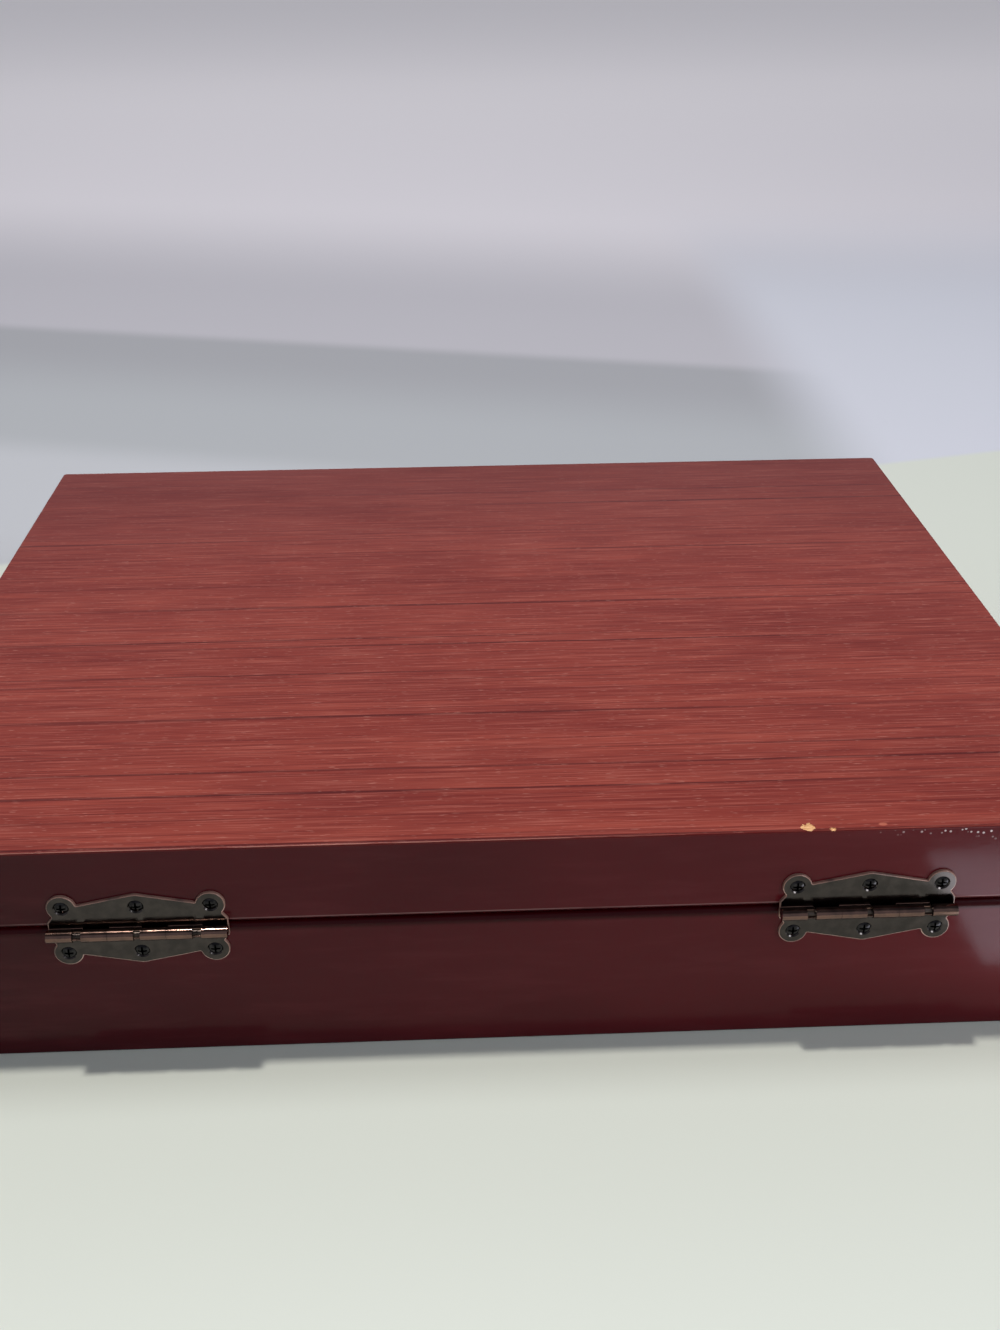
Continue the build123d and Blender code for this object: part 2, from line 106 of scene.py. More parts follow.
# Wear, painted shade and a painted highlight, placed as in the photograph.
dent_x = -114.9 * mm            # middle of a pale dent in the veneer
dent_inset = 2.3 * mm           # from the back edge of the top to the dent's middle
dent_half_width = 1.9 * mm
dent_half_depth = 1.2 * mm
arris_rub = (-60 * mm, -25 * mm)        # x at which the rubbed arris of the top begins, and is full
groove_shade_base = (-3.6 * mm, -1.8 * mm)      # z from the parting line: painted shade in the groove begins, and is full
groove_shade_lid = (2.4 * mm, 0.8 * mm)
rim_highlight_height = 0.86 * rim_round       # a painted highlight: a pale line along the lid's lower rim
rim_highlight_half_width = 0.28 * mm
specks_end = (-100 * mm, -150 * mm)     # x at which the specks below the veneer begin, and are full
specks_deepen = (-135 * mm, -170 * mm)  # x at which they begin to reach lower, and reach lowest
specks_reach = (2.4 * mm, 11.0 * mm)    # how far below the veneer they reach
scuffed_end = (-118 * mm, -150 * mm)    # x at which the scuffed gloss begins, and is full
chip_roughness = 0.55           # how far a chip's outline strays, as a share of its size
chip_lumps = 2.2                # lumps across a chip's half size
chip_seed_step = 7.0            # sets each chip's outline apart from the others
# Middle of each chip, then its half sizes.
chips = (
    ((-92.4 * mm, back_y - 1.9 * mm, lid_top_z), (2.2 * mm, 1.8 * mm, 0.5 * mm)),
    ((-91.6 * mm, back_y - 1.1 * mm, lid_top_z), (1.1 * mm, 0.7 * mm, 0.35 * mm)),
    ((-99.5 * mm, back_y - 0.5 * mm, lid_top_z), (0.95 * mm, 0.8 * mm, 0.5 * mm)),
)


# ---------------------------------------------------------------- material toolkit
def colour(red, green, blue):
    """Scene-linear colour of 0-255 display values."""
    def linear(value):
        share = value / 255
        return share / 12.92 if share <= 0.04045 else ((share + 0.055) / 1.055) ** 2.4
    return (linear(red), linear(green), linear(blue), 1.0)


class Finish:
    """A procedural material: one Principled shader, and short calls for the nodes behind it."""

    def __init__(self, name, constants):
        self.material = bpy.data.materials.new(name)
        self.material.use_nodes = True
        self.tree = self.material.node_tree
        self.shader = self.tree.nodes["Principled BSDF"]
        for socket, value in constants.items():
            self.shader.inputs[socket].default_value = value
        places = self.node("TexCoord")
        self.place = places.outputs["Object"]
        self.x, self.y, self.z = self.node("SeparateXYZ", {0: self.place}).outputs
        self.facing = self.node("SeparateXYZ", {0: places.outputs["Normal"]}).outputs

    def feed(self, socket, value):
        """Link a socket to the value, or set it."""
        if isinstance(value, bpy.types.NodeSocket):
            self.tree.links.new(value, socket)
        else:
            socket.default_value = value

    def node(self, kind, inputs=None, **settings):
        made = self.tree.nodes.new("ShaderNode" + kind)
        for name, value in settings.items():
            setattr(made, name, value)
        for socket, value in (inputs or {}).items():
            self.feed(made.inputs[socket], value)
        return made

    def math(self, operation, first, second=0.0):
        return self.node("Math", {0: first, 1: second}, operation=operation).outputs[0]

    def stretched(self, scale, place=None):
        """The place, in cells of a pattern that has this many to the metre along each axis."""
        inputs = {0: place or self.place, 1: scale}
        return self.node("VectorMath", inputs, operation="MULTIPLY").outputs[0]

    def noise(self, scale, detail=2.0, roughness=0.5, place=None):
        """Smooth noise, 0 to 1, with this many cells to the metre along each axis."""
        inputs = {"Vector": self.stretched(scale, place), "Scale": 1.0, "Detail": detail,
                  "Roughness": roughness}
        return self.node("TexNoise", inputs).outputs[0]

    def dots(self, scale, radius):
        """1 inside scattered dots of a radius given in cells, 0 outside."""
        cells = self.node("TexVoronoi", {"Vector": self.stretched(scale), "Scale": 1.0})
        return self.span(cells.outputs["Distance"], radius, radius * 0.6)

    def span(self, value, start, end, low=0.0, high=1.0):
        """Smooth step from low at start to high at end."""
        inputs = {"Value": value, "From Min": start, "From Max": end, "To Min": low, "To Max": high}
        return self.node("MapRange", inputs, interpolation_type="SMOOTHSTEP").outputs[0]

    def near(self, value, centre, reach):
        """1 at the centre, falling smoothly to 0 at the reach on either side."""
        away = self.math("ABSOLUTE", self.math("SUBTRACT", value, centre))
        return self.span(away, reach, 0.0)

    def times(self, *masks):
        product = masks[0]
        for mask in masks[1:]:
            product = self.math("MULTIPLY", product, mask)
        return product

    def mix(self, share, first, second):
        return self.node("Mix", {0: share, 6: first, 7: second}, data_type="RGBA").outputs[2]

    def paint(self, tint):
        self.feed(self.shader.inputs["Base Color"], tint)

    def roughen(self, roughness):
        self.feed(self.shader.inputs["Roughness"], roughness)

    def relief(self, height, depth):
        """Bump from a 0-1 height, on top of any relief that is there."""
        socket = self.shader.inputs["Normal"]
        inputs = {"Height": height, "Distance": depth, "Strength": 1.0}
        if socket.is_linked:
            inputs["Normal"] = socket.links[0].from_socket
        self.feed(socket, self.node("Bump", inputs).outputs[0])


# ---------------------------------------------------------------- veneer
def grain_place(finish):
    """The place on the top, drifting by up to 5 mm across the grain along its length."""
    drift = finish.math("MULTIPLY", finish.noise((1.3, 3.0, 0.0), 1.0), 5.0 * mm)
    along = finish.math("ADD", finish.y, drift)
    return finish.node("CombineXYZ", {0: finish.x, 1: along, 2: 0.0}).outputs[0]


def veneer_grain(finish, grain, clouds, fibres):
    """Colour of cherry-stained wood: bands and clouds, then dark streaks, then pale fibres and flecks."""
    bands = finish.noise((1.6, 62.0, 0.0), 3.0, 0.6, grain)
    glow = finish.noise((21.0, 210.0, 0.0), 2.0, 0.6, grain)
    strong = finish.span(finish.noise((2.2, 60.0, 0.0), 1.0, 0.5, grain), 0.4, 0.6, 0.1, 0.9)
    streaks = finish.noise((0.7, 300.0, 0.0), 1.0, 0.5, grain)
    lines = finish.noise((1.3, 640.0, 0.0), 1.0, 0.5, grain)
    flecks = finish.noise((230.0, 2100.0, 0.0), 1.0, 0.5, grain)
    dark_streaks = finish.times(finish.span(streaks, 0.58, 0.68), strong)

    tint = finish.mix(finish.span(bands, 0.3, 0.7), colour(124, 44, 34), colour(140, 58, 45))
    tint = finish.mix(finish.span(clouds, 0.4, 0.65, 0.0, 0.42), tint, colour(100, 26, 23))
    tint = finish.mix(finish.span(glow, 0.5, 0.72, 0.0, 0.3), tint, colour(164, 74, 58))
    tint = finish.mix(dark_streaks, tint, colour(72, 8, 8))
    tint = finish.mix(finish.span(lines, 0.54, 0.66, 0.0, 0.4), tint, colour(84, 9, 9))
    tint = finish.mix(finish.span(fibres, 0.48, 0.34, 0.0, 0.45), tint, colour(90, 20, 18))
    tint = finish.mix(finish.span(fibres, 0.52, 0.68, 0.0, 0.45), tint, colour(172, 98, 84))
    return finish.mix(finish.span(flecks, 0.65, 0.76, 0.0, 0.35), tint, colour(206, 146, 130))


def veneer_wear(finish, tint):
    """Paint shade that deepens towards the front, then add the dent, the rubbed arris and the dark edge of
    the sheet.
    """
    # Painted shade: the top darkens towards the front, where less light falls.
    painted_front_shade = finish.span(finish.y, 0.0, -160 * mm, 0.0, 0.48)
    tint = finish.mix(painted_front_shade, tint, colour(88, 34, 33))
    dent = finish.times(finish.near(finish.x, dent_x, dent_half_width),
                        finish.near(finish.y, back_y - dent_inset, dent_half_depth))
    tint = finish.mix(finish.span(dent, 0.1, 0.5, 0.0, 0.45), tint, colour(206, 118, 92))

    arris = finish.span(finish.z, lid_top_z - 0.06 * mm, lid_top_z - 0.25 * mm)
    rubbed = finish.span(finish.noise((60.0, 60.0, 0.0), 3.0), 0.35, 0.55)
    rubbed = finish.times(rubbed, finish.span(finish.x, *arris_rub, 0.1, 1.0))
    tint = finish.mix(finish.times(arris, rubbed), tint, colour(232, 176, 156))
    sheet_edge = finish.span(finish.facing[2], 0.75, 0.45)
    return finish.mix(sheet_edge, tint, colour(86, 2, 5))


def veneer_finish():
    """Satin cherry-stained veneer, grain along X."""
    finish = Finish("cherry_veneer", {"Specular IOR Level": 0.2})
    grain = grain_place(finish)
    clouds = finish.noise((7.0, 22.0, 0.0), 2.0, 0.6, grain)
    fibres = finish.noise((32.0, 1700.0, 0.0), 2.0, 0.6, grain)
    finish.paint(veneer_wear(finish, veneer_grain(finish, grain, clouds, fibres)))
    finish.roughen(finish.span(clouds, 0.3, 0.7, 0.34, 0.42))
    finish.relief(fibres, 0.02 * mm)
    return finish.material


# ---------------------------------------------------------------- lacquer
def lacquer_colour(finish, smear):
    """Cloudy burgundy with paler smears, and painted light that makes it lighter and redder towards the -X
    end.
    """
    cloud = finish.noise((9.0, 9.0, 22.0), 2.0)
    # Painted light from the -X side: the lacquer grows lighter and redder towards that end.
    painted_side_light = finish.span(finish.x, 200 * mm, -200 * mm)
    deep = finish.mix(painted_side_light, colour(56, 12, 17), colour(80, 19, 24))
    pale = finish.mix(painted_side_light, colour(66, 15, 21), colour(90, 23, 28))
    tint = finish.mix(finish.span(cloud, 0.3, 0.7), deep, pale)
    return finish.mix(finish.span(smear, 0.45, 0.8, 0.0, 0.2), tint, colour(104, 44, 48))


def groove_shade_mask(finish, above):
    """Where shade is painted near-black into the outer groove, from the height above the parting line."""
    base_side = finish.span(above, *groove_shade_base)
    lid_side = finish.span(above, *groove_shade_lid)
    outside = finish.span(finish.math("ABSOLUTE", finish.facing[2]), 0.995, 0.95)
    return finish.times(base_side, lid_side, outside)


def rim_highlight(finish, above):
    """Where a pale highlight is painted in patches along the lid's lower rim, from the height above the
    parting line.
    """
    lid_rim = finish.near(above, rim_highlight_height, rim_highlight_half_width)
    highlight_patches = finish.span(finish.noise((45.0, 45.0, 0.0), 3.0), 0.3, 0.5)
    return finish.times(lid_rim, highlight_patches, 0.45)


def edge_specks(finish):
    """Where the back shows white specks under the veneer, reaching lower towards the -X end."""
    specks = finish.dots((600.0, 600.0, 600.0), 0.27)
    below_veneer = finish.math("SUBTRACT", veneer_low_z, finish.z)
    reach = finish.span(finish.x, *specks_deepen, *specks_reach)
    high = finish.span(below_veneer, reach, 0.4 * mm)
    at_end = finish.span(finish.x, *specks_end)
    on_back = finish.span(finish.y, back_y - 0.8 * mm, back_y - 0.2 * mm)
    return finish.times(specks, high, at_end, on_back)


def lacquer_finish():
    """Glossy lacquer of the case sides, with painted shade in the groove, a painted highlight along the
    lid's rim, specks and a scuffed -X end.
    """
    finish = Finish("burgundy_lacquer", {"Specular IOR Level": 0.15})
    smear = finish.noise((30.0, 30.0, 190.0), 3.0, 0.6)
    above = finish.math("SUBTRACT", finish.z, parting_z)
    groove_shade = groove_shade_mask(finish, above)
    # Painted shade: the outer groove is coloured near-black.
    tint = finish.mix(groove_shade, lacquer_colour(finish, smear), colour(48, 1, 4))
    # Painted highlight: a pale line along the lid's lower rim.
    tint = finish.mix(rim_highlight(finish, above), tint, colour(168, 128, 126))
    tint = finish.mix(edge_specks(finish), tint, colour(226, 206, 204))
    finish.paint(tint)

    swirls = finish.noise((700.0, 700.0, 700.0), 3.0, 0.7)
    scuffs = finish.times(swirls, finish.span(finish.x, *scuffed_end))
    dulled = finish.math("ADD", finish.math("MULTIPLY", scuffs, 0.16), finish.math("MULTIPLY", groove_shade, 0.1))
    finish.roughen(finish.math("ADD", finish.span(smear, 0.3, 0.7, 0.05, 0.11), dulled))
    finish.relief(finish.noise((70.0, 70.0, 70.0), 2.0), 0.03 * mm)
    finish.relief(scuffs, 0.02 * mm)
    return finish.material


# ---------------------------------------------------------------- board, cloth and bare wood
def hardboard_finish():
    """Smooth brown hardboard of the recessed bottom."""
    finish = Finish("hardboard", {"Specular IOR Level": 0.3})
    fibre = finish.noise((420.0, 420.0, 420.0), 4.0, 0.7)
    blotch = finish.noise((18.0, 18.0, 18.0), 3.0)
    tint = finish.mix(finish.span(fibre, 0.3, 0.7), colour(84, 56, 38), colour(116, 82, 58))
    tint = finish.mix(finish.span(blotch, 0.4, 0.8, 0.0, 0.4), tint, colour(70, 45, 31))
    finish.paint(tint)
    finish.roughen(finish.span(blotch, 0.3, 0.7, 0.5, 0.65))
    finish.relief(fibre, 0.06 * mm)
    return finish.material


def cloth_finish():
    """Napped brown anti-tarnish cloth."""
    sheen = {"Sheen Weight": 0.35, "Sheen Roughness": 0.45, "Sheen Tint": colour(196, 160, 134)}
    finish = Finish("silver_cloth", {"Specular IOR Level": 0.15, **sheen})
    nap = finish.noise((900.0, 900.0, 900.0), 3.0, 0.7)
    brushed = finish.noise((26.0, 40.0, 26.0), 3.0, 0.6)
    tint = finish.mix(finish.span(nap, 0.3, 0.7), colour(72, 44, 32), colour(110, 72, 53))
    tint = finish.mix(finish.span(brushed, 0.42, 0.7, 0.0, 0.35), tint, colour(132, 92, 68))
    finish.paint(tint)
    finish.roughen(finish.span(nap, 0.3, 0.7, 0.85, 0.98))
    finish.relief(nap, 0.25 * mm)
    finish.relief(brushed, 0.3 * mm)
    return finish.material


def raw_wood_finish():
    """Bare wood inside a chip."""
    finish = Finish("raw_wood", {"Specular IOR Level": 0.2, "Roughness": 0.8})
    splinter = finish.noise((300.0, 3000.0, 3000.0), 3.0, 0.6)
    finish.paint(finish.mix(finish.span(splinter, 0.3, 0.7), colour(198, 142, 92), colour(236, 190, 140)))
    finish.relief(splinter, 0.1 * mm)
    return finish.material


# ---------------------------------------------------------------- metals
def leaf_rim(finish, proud):
    """The rounded rims of the leaves and plates, but not the countersinks: where copper shows, and where a
    highlight is painted on the rims that face down.
    """
    on_leaf = finish.span(proud, leaf_thickness + 0.35 * mm, leaf_thickness + 0.15 * mm)
    outward = finish.math("ABSOLUTE", finish.facing[1])
    countersunk = finish.near(outward, sin(pi / 4), 0.03)
    rim = finish.times(finish.span(outward, 0.995, 0.95), finish.span(countersunk, 0.6, 0.2))
    return finish.times(on_leaf, rim)


def bronze_finish():
    """Antique bronze: near-black plate, copper showing at the rims and on the barrels, and a painted
    highlight on the rims that face down.
    """
    finish = Finish("antique_bronze", {"Metallic": 1.0})
    patina = finish.noise((260.0, 260.0, 260.0), 3.0, 0.6)
    brushed = finish.noise((60.0, 60.0, 900.0), 2.0)
    proud = finish.math("SUBTRACT", finish.math("ABSOLUTE", finish.y), back_y)
    rim = leaf_rim(finish, proud)
    rubbed = finish.span(finish.noise((160.0, 160.0, 160.0), 2.0), 0.3, 0.5, 0.3, 1.0)
    painted_underside_light = finish.span(finish.facing[2], -0.05, -0.25)
    barrel = finish.span(proud, leaf_thickness + 0.3 * mm, leaf_thickness + 0.8 * mm)
    barrel = finish.times(barrel, finish.span(patina, 0.3, 0.6, 0.6, 1.0))

    tint = finish.mix(finish.span(patina, 0.3, 0.75), colour(62, 58, 56), colour(76, 70, 67))
    tint = finish.mix(finish.times(rim, rubbed), tint, colour(158, 120, 106))
    # Painted highlight: rims that face down are coloured pale.
    tint = finish.mix(finish.times(rim, painted_underside_light), tint, colour(228, 190, 176))
    finish.paint(finish.mix(barrel, tint, colour(118, 92, 82)))
    finish.feed(finish.shader.inputs["Metallic"], finish.span(rim, 0.0, 1.0, 1.0, 0.25))
    rim_dulled = finish.math("MULTIPLY", rim, 0.25)
    finish.roughen(finish.math("ADD", finish.span(patina, 0.3, 0.7, 0.12, 0.2), rim_dulled))
    finish.relief(brushed, 0.008 * mm)
    return finish.material


def dark_metal_finish(name, wear_scale, wear_span, tones, roughness):
    """Darkened metal whose colour and gloss vary with its wear."""
    finish = Finish(name, {"Metallic": 1.0})
    wear = finish.noise(wear_scale, 2.0)
    finish.paint(finish.mix(finish.span(wear, *wear_span), colour(*tones[0]), colour(*tones[1])))
    finish.roughen(finish.span(wear, 0.3, 0.7, *roughness))
    return finish.material


slot_finishes = {
    "veneer": veneer_finish(),
    "lacquered_wood": lacquer_finish(),
    "bottom_board": hardboard_finish(),
    "cloth": cloth_finish(),
    "antique_bronze": bronze_finish(),
    "dark_screw": dark_metal_finish("dark_screw", (700.0, 700.0, 700.0), (0.35, 0.65),
                                    ((36, 35, 36), (56, 54, 54)), (0.12, 0.2)),
    "pin_steel": dark_metal_finish("pin_steel", (500.0, 90.0, 90.0), (0.3, 0.7),
                                   ((50, 44, 42), (84, 74, 68)), (0.25, 0.4)),
}
raw_wood = raw_wood_finish()


def slot_of(node):
    """The record's material slot of a CAD node, which its packed material is named after."""
    return frame["nodes"][node].data.materials[0].name


slot_of_node = {node: slot_of(node) for node in frame["nodes"]}
for node, slot in slot_of_node.items():
    for entry in frame["nodes"][node].material_slots:
        entry.material = slot_finishes[slot]


# ---------------------------------------------------------------- mesh helpers
def settle(piece):
    """Make the shape that the modifiers give the piece's own mesh."""
    graph = bpy.context.evaluated_depsgraph_get()
    mesh = bpy.data.meshes.new_from_object(piece.evaluated_get(graph))
    piece.modifiers.clear()
    piece.data = mesh


def new_piece(name, mesh):
    piece = bpy.data.objects.new(name, mesh)
    scene.collection.objects.link(piece)
    return piece


def piece_of(name, shape):
    """A new object with the shape of a bmesh, which is freed."""
    mesh = bpy.data.meshes.new(name)
    shape.to_mesh(mesh)
    shape.free()
    return new_piece(name, mesh)


def welded_copy(node, name):
    """A copy of a CAD node's mesh with its vertices joined and its own normals, as a new object."""
    solid = bmesh.new()
    solid.from_mesh(frame["nodes"][node].data)
    bmesh.ops.remove_doubles(solid, verts=solid.verts, dist=weld_reach)
    bmesh.ops.dissolve_limit(solid, angle_limit=radians(flat_angle), verts=solid.verts, edges=solid.edges)
    piece = piece_of(name, solid)
    fixed_normals = piece.data.attributes.get("custom_normal")
    if fixed_normals:
        piece.data.attributes.remove(fixed_normals)
    return piece


def stand_in(piece, node):
    """The piece takes a CAD node's place, body, slot and finish."""
    slot = slot_of_node[node]
    piece.data.materials.clear()
    piece.data.materials.append(slot_finishes[slot])
    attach(piece, frame["nodes"][node]["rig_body"])
    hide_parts(node)


def smooth(piece, angle):
    """Shade smoothly up to edges sharper than the angle in degrees, and faces square to an axis flat."""
    piece.data.set_sharp_from_angle(angle=radians(angle))
    for face in piece.data.polygons:
        face.use_smooth = max(abs(part) for part in face.normal) < square_to_axis


# ---------------------------------------------------------------- cloth-covered card and boards
def covered_board(node, edge_round):
    """A stiff board or card with cloth pulled round its edges."""
    piece = welded_copy(node, f"{node}_cover")
    bevel = piece.modifiers.new("cloth_round_edges", "BEVEL")
    bevel.width = edge_round
    bevel.segments = round_segments
    bevel.limit_method = "ANGLE"
    bevel.angle_limit = radians(cover_round_angle)
    settle(piece)
    smooth(piece, cover_shading_angle)
    stand_in(piece, node)


for body in ("base", "lid"):
    for side in ("front", "right", "back", "left"):
        covered_board(f"{body}_{side}_liner", cloth_edge_round)
for node in ("tray_divider", "tray_cross_divider", "knife_blade_bar"):
    covered_board(node, divider_edge_round)


# ---------------------------------------------------------------- padded pieces
def even_mesh(node):
    """A slotted rack's copy with square faces of one size all over."""
    piece = welded_copy(node, f"{node}_cushion")
    remesh = piece.modifiers.new("even_mesh", "REMESH")
    remesh.mode = "VOXEL"
    remesh.voxel_size = rack_cell
    settle(piece)
    return piece


def gridded_pad(node):
    """A flat pad's box with its top and bottom cut into cells, and its edges rounded."""
    low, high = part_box(node)
    pad = bmesh.new()
    bmesh.ops.create_cube(pad, size=1.0)
    for corner in pad.verts:
        corner.co = [low[i] if corner.co[i] < 0 else high[i] for i in range(3)]
    for axis in (0, 1):
        normal = [float(axis == 0), float(axis == 1), 0.0]
        count = ceil((high[axis] - low[axis]) / pad_cell)
        for step in range(1, count):
            at = [0.0, 0.0, 0.0]
            at[axis] = low[axis] + (high[axis] - low[axis]) * step / count
            bmesh.ops.bisect_plane(pad, geom=pad.verts[:] + pad.edges[:] + pad.faces[:],
                                   plane_co=at, plane_no=normal)
    rims = [e for e in pad.edges
            if len(e.link_faces) == 2 and e.calc_face_angle() > radians(pad_round_angle)]
    bmesh.ops.bevel(pad, geom=rims, offset=pad_edge_round, segments=round_segments, profile=0.5,
                    affect="EDGES")
    return piece_of(f"{node}_cushion", pad)


def draw_in(piece, depth):
    """Move every vertex inwards, so that the cloth has room to swell."""
    inward = [v.normal.copy() for v in piece.data.vertices]
    for vertex, normal in zip(piece.data.vertices, inward):
        vertex.co -= normal * depth


def inflate(piece, held, pressure):
    """Swell the cover by cloth simulation, with the vertices of these numbers held in place."""
    pins = piece.vertex_groups.new(name="held")
    pins.add(held, 1.0, "REPLACE")
    cloth = piece.modifiers.new("cover", "CLOTH")
    cloth.settings.use_pressure = True
    cloth.settings.uniform_pressure_force = pressure
    cloth.settings.mass = cover_mass
    cloth.settings.tension_stiffness = cover_stiffness
    cloth.settings.compression_stiffness = cover_stiffness
    cloth.settings.vertex_group_mass = "held"
    cloth.settings.effector_weights.gravity = 0.0
    cloth.point_cache.frame_end = cover_frames
    for step in range(1, cover_frames + 1):
        scene.frame_set(step)
    settle(piece)
    scene.frame_set(1)


def swell(piece, node, seat_z, draw, pressure, cap):
    """Draw the cover in, and swell it by up to the cap, glued down at seat_z, in the node's box."""
    low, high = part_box(node)
    draw_in(piece, draw)
    start = [v.co.copy() for v in piece.data.vertices]
    held = [i for i, place in enumerate(start) if abs(place.z - seat_z) < 2 * draw]
    inflate(piece, held, pressure)
    for vertex, place in zip(piece.data.vertices, start):
        travel = vertex.co - place
        if travel.length > cap:
            vertex.co = place + travel * (cap / travel.length)
        vertex.co = [min(max(vertex.co[i], low[i]), high[i]) for i in range(3)]


def finish_cushion(piece, node):
    rounder = piece.modifiers.new("rounder", "SUBSURF")
    rounder.levels = 1
    rounder.render_levels = 1
    settle(piece)
    piece.data.shade_smooth()
    stand_in(piece, node)


def pad_cushion(node, seat_z):
    """A thin flat pad, held on the side that it is glued down by."""
    piece = gridded_pad(node)
    swell(piece, node, seat_z, pad_swell, pad_pressure, 3 * pad_swell)
    finish_cushion(piece, node)


def rack_cushion(node, seat_z):
    """A foam bar with slots under tight cloth, held where it is glued down."""
    piece = even_mesh(node)
    swell(piece, node, seat_z, rack_swell, rack_pressure, 2 * rack_swell)
    finish_cushion(piece, node)


pad_cushion("base_floor_pad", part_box("base_floor_pad")[0].z)
pad_cushion("lid_pad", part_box("lid_pad")[1].z)
for node in ("front_rack", "rear_rack"):
    rack_cushion(node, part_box(node)[0].z)
rack_cushion("knife_handle_rack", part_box("knife_handle_rack")[1].z)


# ---------------------------------------------------------------- veneer with its chips
def chip_tool(name, place, size, seed):
    """A rough lump that cuts a chip out of the veneer. It never shows."""
    lump = bmesh.new()
    bmesh.ops.create_icosphere(lump, subdivisions=3, radius=1.0)
    for vertex in lump.verts:
        stray = noise.noise(vertex.co * chip_lumps + Vector((seed, 0.0, 0.0)))
        vertex.co *= 1.0 + chip_roughness * stray
        vertex.co = Vector([vertex.co[i] * size[i] + place[i] for i in range(3)])
    tool = piece_of(name, lump)
    tool.data.materials.append(raw_wood)
    tool.hide_render = True
    return tool


worn_veneer = welded_copy("lid_top_veneer", "worn_veneer")
stand_in(worn_veneer, "lid_top_veneer")
chip_tools = []
for number, (place, size) in enumerate(chips):
    tool = chip_tool(f"chip_tool_{number + 1}", place, size, number * chip_seed_step)
    chip_tools.append(tool)
    cut = worn_veneer.modifiers.new(tool.name, "BOOLEAN")
    cut.operation = "DIFFERENCE"
    cut.solver = "EXACT"
    cut.material_mode = "TRANSFER"
    cut.object = tool
settle(worn_veneer)
for tool in chip_tools:
    bpy.data.objects.remove(tool)
smooth(worn_veneer, veneer_shading_angle)

# ---------------------------------------------------------------- studio values
pale_up_to = 36.0               # degrees above the horizon that the studio is pale to
dim_from = 58.0                 # degrees above the horizon that it is dim from
pale_studio = (160, 163, 173)
dim_studio = (66, 69, 78)

floor_half_size = 15.0
board_end = -0.279              # y at which the pale board that the chest stands on ends
board_end_softness = 0.008
board_slant = 0.24              # how far the board's end moves back for each metre of x
fold_slant = 0.26               # the same for the folds of the backdrop
board_shade_by_chest = (0.4, 0.17)     # y at which painted shade on the board begins by the chest, and is full
lit_side_x = (-0.20, -0.28)     # the backdrop's lit side begins, and is full
lit_side_y = (-1.2, -0.7)
glow_y = (-0.7, -2.4)           # the backdrop begins to glow, and glows most
glow_strength = 0.2
# Painted light and shade of the backdrop: where each tone begins and is full, going away from the camera,
# and the tone.
backdrop_painted_shading = (
    (-0.31, -0.36, (173, 175, 178)),
    (-0.42, -0.56, (162, 162, 166)),
    (-0.590, -0.620, (186, 183, 189)),
    (-0.75, -1.15, (224, 219, 224)),
)
# Name, place, target, width and length in metres, watts, and tint of each lamp.
lamps = (
    ("overhead", (0.41, -0.07, 2.5), (0.0, 0.0, 0.0), 0.12, 0.12, 37.0, (255, 252, 246)),
    ("ceiling", (0.1, -0.45, 2.4), (0.0, 0.0, 0.0), 0.5, 0.5, 14.0, (244, 248, 255)),
    ("window", (-1.1, 0.95, 1.0), (0.0, 0.1, 0.05), 0.5, 0.5, 8.0, (236, 244, 255)),
    ("floor_glow", (-0.235, 0.212, 0.001), (-0.235, 0.212, 1.0), 0.14, 0.062, 0.12, (235, 240, 255)),
)


# ---------------------------------------------------------------- studio
def studio_world():
    """Pale all round at eye level, dim overhead, so that metal shows a bright rim and a dark crown."""
    world = bpy.data.worlds.new("studio")
    world.use_nodes = True
    tree = world.node_tree
    place = tree.nodes.new("ShaderNodeTexCoord")
    split = tree.nodes.new("ShaderNodeSeparateXYZ")
    rise = tree.nodes.new("ShaderNodeMapRange")
    rise.interpolation_type = "SMOOTHSTEP"
    rise.inputs["From Min"].default_value = sin(radians(pale_up_to))
    rise.inputs["From Max"].default_value = sin(radians(dim_from))
    tone = tree.nodes.new("ShaderNodeMix")
    tone.data_type = "RGBA"
    tone.inputs[6].default_value = colour(*pale_studio)
    tone.inputs[7].default_value = colour(*dim_studio)
    tree.links.new(place.outputs["Generated"], split.inputs[0])
    tree.links.new(split.outputs[2], rise.inputs["Value"])
    tree.links.new(rise.outputs[0], tone.inputs[0])
    tree.links.new(tone.outputs[2], tree.nodes["Background"].inputs["Color"])
    scene.world = world


def backdrop_colour(finish):
    """The sweep behind the board, painted on the floor: its painted shade and light going back, and its
    painted lit side at -X.
    """
    tint = colour(188, 189, 193)
    depth = finish.math("ADD", finish.y, finish.math("MULTIPLY", finish.x, fold_slant))
    # Painted shade of the backdrop's folds, and painted light further back.
    for start, end, tone in backdrop_painted_shading:
        tint = finish.mix(finish.span(depth, start, end), tint, colour(*tone))
    lit_side = finish.times(finish.span(finish.x, *lit_side_x), finish.span(finish.y, *lit_side_y))
    return finish.mix(lit_side, tint, colour(206, 207, 216))


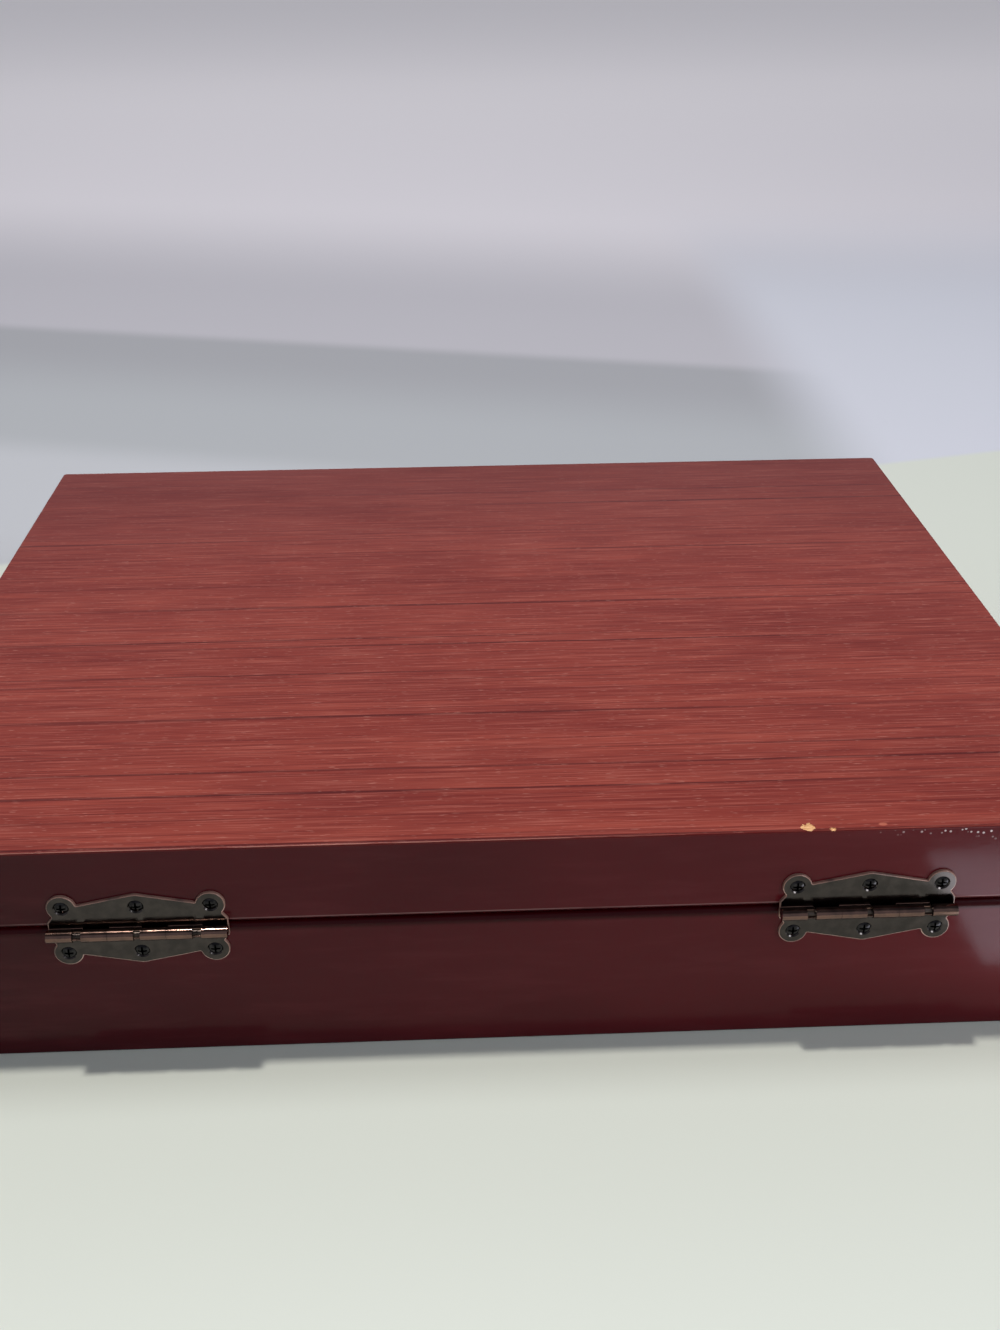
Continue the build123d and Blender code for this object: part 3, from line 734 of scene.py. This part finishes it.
def floor_finish():
    """Pale board with painted shade by the chest, and beyond it the backdrop with its painted light and
    shade, which glows faintly.
    """
    finish = Finish("pale_floor", {"Specular IOR Level": 0.3, "Roughness": 0.4})
    # Painted shade: the board darkens towards the chest.
    painted_chest_shade = finish.span(finish.y, *board_shade_by_chest)
    board = finish.mix(painted_chest_shade, colour(226, 229, 219), colour(209, 212, 201))
    slanted = finish.math("ADD", finish.y, finish.math("MULTIPLY", finish.x, -board_slant))
    beyond = finish.span(slanted, board_end, board_end - board_end_softness)
    finish.paint(finish.mix(beyond, board, backdrop_colour(finish)))
    finish.feed(finish.shader.inputs["Emission Color"], colour(255, 250, 250))
    glow = finish.span(finish.y, *glow_y, 0.0, glow_strength)
    finish.feed(finish.shader.inputs["Emission Strength"], glow)
    return finish.material


def flat_floor(half_size):
    floor = bmesh.new()
    bmesh.ops.create_grid(floor, x_segments=1, y_segments=1, size=half_size)
    mesh = bpy.data.meshes.new("floor")
    floor.to_mesh(mesh)
    floor.free()
    mesh.materials.append(floor_finish())
    new_piece("floor", mesh)


def panel_lamp(name, place, target, width, length, power, tint):
    """A soft rectangular lamp that the camera doesn't see."""
    data = bpy.data.lights.new(name, "AREA")
    data.shape = "RECTANGLE"
    data.size = width
    data.size_y = length
    data.energy = power
    data.color = colour(*tint)[:3]
    lamp = bpy.data.objects.new(name, data)
    lamp.location = place
    lamp.rotation_euler = (Vector(target) - Vector(place)).to_track_quat("-Z", "Y").to_euler()
    lamp.visible_camera = False
    scene.collection.objects.link(lamp)


studio_world()
flat_floor(floor_half_size)
for lamp in lamps:
    panel_lamp(*lamp)

# ---------------------------------------------------------------- camera, fitted to the photograph
camera_place = Vector((0.011134, 0.501512, 0.324530))
camera_turn = -2.0833           # degrees from looking straight at the back
camera_dip = 28.539             # degrees below the horizon
camera_roll = -0.4309
photo_height = 1330             # pixels
photo_focal = 1449.65           # focal length in the same pixels

lens = bpy.data.cameras.new("camera")
lens.sensor_width = 36.0        # spans the photograph's height, its longer side
lens.lens = photo_focal / photo_height * lens.sensor_width
lens.clip_start = 0.01
camera = bpy.data.objects.new("camera", lens)
camera.matrix_world = (
    Matrix.Translation(camera_place)
    @ Matrix.Rotation(pi + radians(camera_turn), 4, "Z")
    @ Matrix.Rotation(pi / 2 - radians(camera_dip), 4, "X")
    @ Matrix.Rotation(radians(camera_roll), 4, "Z")
)
scene.collection.objects.link(camera)
scene.camera = camera
scene.view_settings.view_transform = "Standard"
